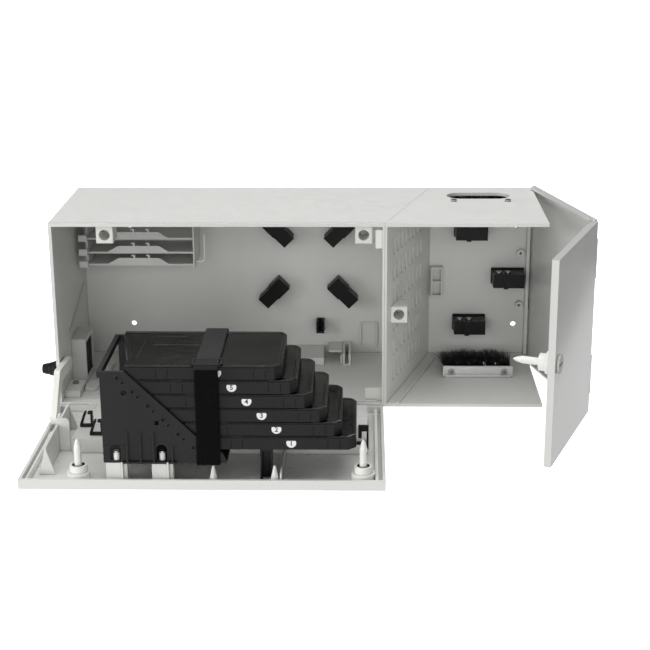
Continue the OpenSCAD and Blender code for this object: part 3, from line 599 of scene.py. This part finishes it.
def lid(k):
    """A snap-on lid: rolled rim, sunk panel, a raised hinge apron and two thumb catches."""
    low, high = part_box(f"tray_lid_{k}")
    bm = bmesh.new()
    # (inset in millimetres, share of the lid's height), from the foot of the rim to the sunk panel
    section = ((0.0, 0.0), (0.0, 0.55), (0.5, 1.0), (2.6, 1.0), (3.1, 0.62), (5.5, 0.55))
    rings = []
    for inset, height in section:
        z = low.z + (high.z - low.z) * height
        rings.append([Vector((x, y, z)) for x, y in outline_points(inset * MM, low, high)])
    sweep(bm, rings, closed=False)
    px = tray_pivot(k)[0]
    z0, z1 = in_mm(low).z, in_mm(high).z
    # apron at the hinge end, in two low ridges
    for x, y0, y1, wide in ((8, -182, -158, 1.4), (14, -156, -90, 1.2)):
        add_block(bm, px + x, y0, z0 + 0.3, px + x + wide, y1, z1 - 0.05)
    # long stiffening ribs and the thumb catches near the front
    for y, length in ((-121, 46), (-96, 28)):
        add_block(bm, px + 24, y, z0 + 0.3, px + 24 + length, y + 1, z1 - 0.1)
    for x in (34, 122):
        add_block(bm, px + x, TRAY_FRONT + 0.1, z0 + 0.1, px + x + 11, TRAY_FRONT + 2.6, z1 - 0.02)
    obj = add_piece(f"lid_{k}", mesh_of(f"lid_{k}", bm), f"tray_{k}", "lid_black",
                    (f"tray_lid_{k}",), smooth=False)
    return soften(obj, 0.18)


def label(k):
    """A white disc cut flat at the top, with the tray's number on it."""
    px, pz = tray_pivot(k)
    x, z = px + 89, pz + 3.9
    radius, cut, thick = 4.5, 2.1, 0.16
    start = math.asin(cut / radius)
    steps = 28
    rings = []
    for y in (TRAY_FRONT - 0.02, TRAY_FRONT - thick):
        angles = [math.pi - start + (math.pi + 2 * start) * s / steps for s in range(steps + 1)]
        rings.append([at(x + radius * math.cos(a), y, z + radius * math.sin(a)) for a in angles])
    bm = bmesh.new()
    sweep(bm, rings, closed=False)
    add_piece(f"label_{k}", mesh_of(f"label_{k}", bm), f"tray_{k}", "label_white",
              smooth=False)
    mesh = digit_mesh(k, size=6.3, heavier=0.13, raised=0.03)
    place = at(x, TRAY_FRONT - thick - 0.04, z - 0.6)
    mesh.transform(Matrix.Translation(place) @ Matrix.Rotation(math.radians(90), 4, "X"))
    add_piece(f"number_{k}", mesh, f"tray_{k}", "label_ink", smooth=False)


def digit_mesh(k, size, heavier, raised):
    """A digit as a mesh, flat and centred on the origin, with its sizes in millimetres."""
    text = bpy.data.curves.new(f"number_{k}", "FONT")
    text.body = str(k)
    text.size = size * MM
    text.align_x = "CENTER"
    text.align_y = "CENTER"
    text.extrude = raised * MM
    text.offset = heavier * MM
    text.resolution_u = 3
    holder = bpy.data.objects.new(f"number_curve_{k}", text)
    SCENE.collection.objects.link(holder)
    bpy.context.view_layer.update()
    mesh = bpy.data.meshes.new_from_object(holder.evaluated_get(bpy.context.evaluated_depsgraph_get()))
    bpy.data.objects.remove(holder)
    mesh.materials.clear()
    return mesh


for k in TRAYS:
    lid(k)
    label(k)


# ---------- gland ----------


def gland():
    """Rubber sleeve outside the wall, narrowing in steps, on a flanged collar."""
    low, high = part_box("cable_gland")
    axis_y, axis_z = (low.y + high.y) / 2, (low.z + high.z) / 2
    # (distance from the wall, radius) in millimetres, from the thread inside to the collar
    profile = [(8.5, 4.2), (8.5, 6.3), (0.0, 6.3), (0.0, 12.5), (-0.6, 13.0), (-5.2, 13.0), (-6.0, 12.3),
               (-6.2, 11.4), (-10.4, 11.4), (-11.0, 10.8)]
    # three stepped rings narrowing to a rounded mouth
    for start, wide in ((-11.0, 10.4), (-15.6, 9.0), (-20.2, 7.6)):
        profile += [(start - 0.4, wide), (start - 3.6, wide - 1.0), (start - 4.2, wide - 1.6)]
    profile += [(-25.4, 6.3), (-29.6, 5.3), (-30.6, 4.9), (-31.0, 4.4), (-30.4, 4.02)]
    rings = []
    for x, r in profile:
        rings.append([
            Vector((CORNER.x + x * MM, axis_y + r * MM * math.cos(a), axis_z + r * MM * math.sin(a)))
            for a in turns(48)
        ])
    bm = bmesh.new()
    sweep(bm, rings, closed=True)
    return add_piece("gland_sleeve", mesh_of("gland_sleeve", bm), "housing", "black_rubber",
                     ("cable_gland",))


gland()


# ---------- details on the front cheek of the tray bracket ----------

RIB_PROUD = 0.8  # the cheek's own ribs, which are the foremost part of the bracket
BRACKET_LOW = in_mm(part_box("tray_bracket")[0])
CHEEK_FACE = BRACKET_LOW.y + RIB_PROUD
CHEEK_FOOT = BRACKET_LOW.z
INDEX_HOLE = (4.6, -4.9)  # from each tray's pivot to the index hole beside it


def ring_on_cheek(bm, x, z, sides, section):
    """A ring on the cheek round (x, z), from its section's points (radius, height above the face)."""
    rings = [
        [at(x + r * math.cos(a), CHEEK_FACE - height, z + r * math.sin(a)) for a in turns(sides)]
        for r, height in section
    ]
    sweep(bm, rings, closed=True)


def cheek_piece(name, bm, finish):
    return add_piece(name, mesh_of(name, bm), "tray_carrier", finish, smooth=False)


def cheek_collars():
    """Raised rims round the pivot bores and the index holes beside them."""
    bm = bmesh.new()
    proud, wide, deep = 0.35, 0.6, -0.3
    for k in TRAYS:
        px, pz = tray_pivot(k)
        for x, z, r in ((px, pz, 1.9), (px + INDEX_HOLE[0], pz + INDEX_HOLE[1], 1.5)):
            outer = r + wide
            section = ((r, deep), (r, proud * 0.6), (r + 0.25, proud), (outer, proud), (outer + 0.2, deep))
            ring_on_cheek(bm, x, z, 24, section)
    return cheek_piece("cheek_collars", bm, "bracket_black")


def cheek_sockets():
    """Painted shade in the hollow ends of the tray pins and the index holes: shallow near-black cups inside
    the collars.
    """
    bm = bmesh.new()
    lip, deep, bottom = 0.2, -0.2, -0.05
    for k in TRAYS:
        px, pz = tray_pivot(k)
        for x, z, r in ((px, pz, 1.95), (px + INDEX_HOLE[0], pz + INDEX_HOLE[1], 1.55)):
            section = ((r, deep), (r, lip), (r - 0.25, lip), (0.2, bottom), (0.2, deep))
            ring_on_cheek(bm, x, z, 20, section)
    # near-black cups that paint the shade inside the bores
    return cheek_piece("cheek_sockets", bm, "bristle")


def cheek_fins():
    """Tall stiffening fins at the foot of the cheek, tapering upwards, on a base flange."""
    bm = bmesh.new()
    back = CHEEK_FACE - 0.5
    thick, deep, deep_at_top = 1.8, 2.4, 1.1
    for x, top in ((100.4, 45), (112.4, 45), (124.4, 45), (141.4, 32)):
        fin = add_block(bm, x, CHEEK_FACE - deep, CHEEK_FOOT + 1.2, x + thick, back, top)
        for corner in fin:
            place = in_mm(corner.co)
            if place.z > top - 1 and place.y < CHEEK_FACE - 1:
                corner.co.y = at(0, CHEEK_FACE - deep_at_top, 0).y
    add_block(bm, 95, CHEEK_FACE - 3.0, CHEEK_FOOT, 146, back, CHEEK_FOOT + 1.5)
    return soften(cheek_piece("cheek_fins", bm, "bracket_black"), 0.25)


cheek_collars()
cheek_sockets()
cheek_fins()


# ---------- dark rings round the lock pins ----------

LOCK_Y = -178.5
RECESS_Z = 8.2  # bottom of the recess in a lock's bezel
LOCKS = {"lock_washer_left": 54, "lock_washer_right": 316}


def lock_washer(name, lock_x):
    """Shadowed spring washer at the bottom of a lock bezel's recess."""
    bm = bmesh.new()
    rings = [
        [at(lock_x + r * math.cos(a), LOCK_Y + r * math.sin(a), RECESS_Z + z) for a in turns(40)]
        for r, z in ((3.8, 0.0), (3.8, 1.1), (4.6, 1.6), (5.6, 1.3), (5.6, 0.0))
    ]
    sweep(bm, rings, closed=True)
    return add_piece(name, mesh_of(name, bm), "main_door", "black_rubber")


for name, lock_x in LOCKS.items():
    lock_washer(name, lock_x)


# ---------- camera, light and floor ----------


LENS_MM, SENSOR_MM = 81.63, 36
EYE = (0.04536, -1.59439, 0.44407)
# in radians, with down, to the right and anticlockwise as positive
PITCH, YAW, ROLL = 0.306, -0.027, -0.006

# every lamp's place, width and depth in metres, and power in watts
STAGE_MIDDLE = (0, -0.1, 0)
LAMPS = {
    "top": ((0.0, -0.25, 1.9), (2.4, 1.8), 32),
    "front": ((0.0, -2.7, 0.55), (3.0, 1.4), 28),
    "left": ((-2.2, -1.2, 0.5), (1.5, 1.5), 35),
    "rim": ((0.0, 1.3, 1.5), (2.0, 1.0), 12),
    "glint": ((1.7, 0.5, 1.6), (0.7, 0.7), 20),
}
FLOOR_Z = -0.16
FLOOR_HALF = 60.0


def camera():
    data = bpy.data.cameras.new("camera")
    data.lens = LENS_MM
    data.sensor_width = SENSOR_MM
    data.clip_start, data.clip_end = 0.05, 30
    obj = bpy.data.objects.new("camera", data)
    SCENE.collection.objects.link(obj)
    forward = Vector((math.sin(YAW) * math.cos(PITCH), math.cos(YAW) * math.cos(PITCH), -math.sin(PITCH)))
    flat_right = Vector((math.cos(YAW), -math.sin(YAW), 0))
    flat_up = flat_right.cross(forward)
    right = flat_right * math.cos(ROLL) + flat_up * math.sin(ROLL)
    up = flat_up * math.cos(ROLL) - flat_right * math.sin(ROLL)
    turn = Matrix((right, up, -forward)).transposed().to_4x4()
    obj.matrix_world = Matrix.Translation(Vector(EYE)) @ turn
    SCENE.camera = obj


def area_light(name, place, target, size, power):
    data = bpy.data.lights.new(name, "AREA")
    data.shape = "RECTANGLE"
    data.size, data.size_y = size
    data.energy = power
    obj = bpy.data.objects.new(name, data)
    SCENE.collection.objects.link(obj)
    obj.location = Vector(place)
    obj.rotation_mode = "QUATERNION"
    obj.rotation_quaternion = (Vector(target) - Vector(place)).to_track_quat("-Z", "Y")
    return obj


def flat_sheet(name, corners, colour, glow, seen_by):
    """A stage surface that only the named kinds of ray meet."""
    mesh = bpy.data.meshes.new(name)
    mesh.from_pydata(corners, [], [(0, 1, 2, 3)])
    obj = bpy.data.objects.new(name, mesh)
    SCENE.collection.objects.link(obj)
    s = Shader(name)
    tone = s.ramp(s.noise(400, 2), [(0.3, scaled(colour, 0.98)), (0.7, colour)])
    s.link(tone, s.bsdf.inputs["Base Color"])
    s.bsdf.inputs["Roughness"].default_value = 0.9
    s.bsdf.inputs["Emission Color"].default_value = (1, 1, 1, 1)
    s.bsdf.inputs["Emission Strength"].default_value = glow
    mesh.materials.append(s.done())
    for kind in ("camera", "diffuse", "glossy", "shadow"):
        setattr(obj, f"visible_{kind}", kind in seen_by)


def square(half, z):
    return [(-half, -half, z), (half, -half, z), (half, half, z), (-half, half, z)]


def studio():
    world = bpy.data.worlds.new("studio")
    SCENE.world = world
    world.use_nodes = True
    world.node_tree.nodes["Background"].inputs["Color"].default_value = (1, 1, 1, 1)
    world.node_tree.nodes["Background"].inputs["Strength"].default_value = 0.07
    lamps = {name: area_light(name, place, STAGE_MIDDLE, size, power)
             for name, (place, size, power) in LAMPS.items()}
    # the small lamp is met by gloss only, for the glints on the lids' cut corners
    lamps["glint"].visible_diffuse = False
    # light off the pale floor, which gloss meets as a dimmer sheet than the camera does
    under = area_light("under", (-1.4, 0, FLOOR_Z + 0.005), (-1.4, 0, 1), (3.3, 6.0), 42)
    under.visible_camera = False
    flat_sheet("floor", square(FLOOR_HALF, FLOOR_Z), grey_of(0.93), 1.0, ("camera",))
    flat_sheet("floor_sheen", square(FLOOR_HALF, FLOOR_Z - 0.001), grey_of(0.5), 0.12, ("glossy",))
    # the bright strip that the side door's gloss reflects
    near_door = ((0.15, -0.45), (0.36, -0.178), (0.71, 0.53), (0.2, 0.53))
    flat_sheet("door_sheen", [(x, y, FLOOR_Z) for x, y in near_door], grey_of(0.5), 0.8, ("glossy",))
    SCENE.view_settings.view_transform = "Standard"
    SCENE.view_settings.look = "None"
    SCENE.view_settings.exposure = 0.0


camera()
studio()
